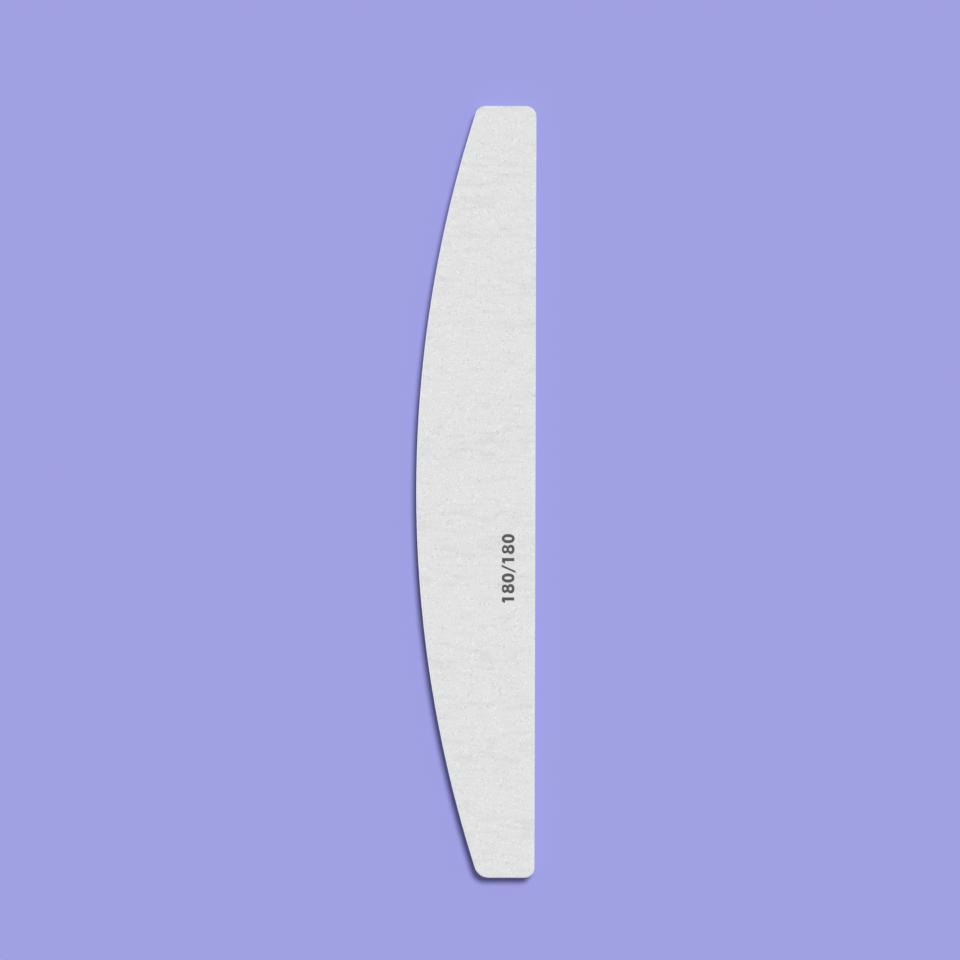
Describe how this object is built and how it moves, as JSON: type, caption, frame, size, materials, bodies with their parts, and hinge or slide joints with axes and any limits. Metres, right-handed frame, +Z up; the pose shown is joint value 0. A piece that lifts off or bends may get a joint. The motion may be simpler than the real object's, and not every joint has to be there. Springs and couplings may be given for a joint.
{
  "type": "nail file",
  "caption": "Half-moon nail file: a flat laminated board with one straight edge and one curved edge, rounded corners and a fine abrasive face on both sides.",
  "frame": {"origin": "centre of the file's bounding box at its lower abrasive face, which it rests on", "axes": "+Y along the file's length, +X from the half-moon edge to the straight edge, +Z up through the thickness to the upper abrasive face"},
  "size_m": [0.0274, 0.178, 0.004],
  "materials": {
    "grit_coat": "matte",
    "backing_paper": "matte",
    "adhesive": "satin",
    "foam": "matte",
    "core_plastic": "satin"
  },
  "bodies": {
    "root": {"lower_grit_coat": "grit_coat", "lower_backing_paper": "backing_paper", "lower_paper_adhesive": "adhesive", "lower_foam_pad": "foam", "lower_core_adhesive": "adhesive", "core_board": "core_plastic", "upper_core_adhesive": "adhesive", "upper_foam_pad": "foam", "upper_paper_adhesive": "adhesive", "upper_backing_paper": "backing_paper", "upper_grit_coat": "grit_coat"}
  },
  "joints": []
}
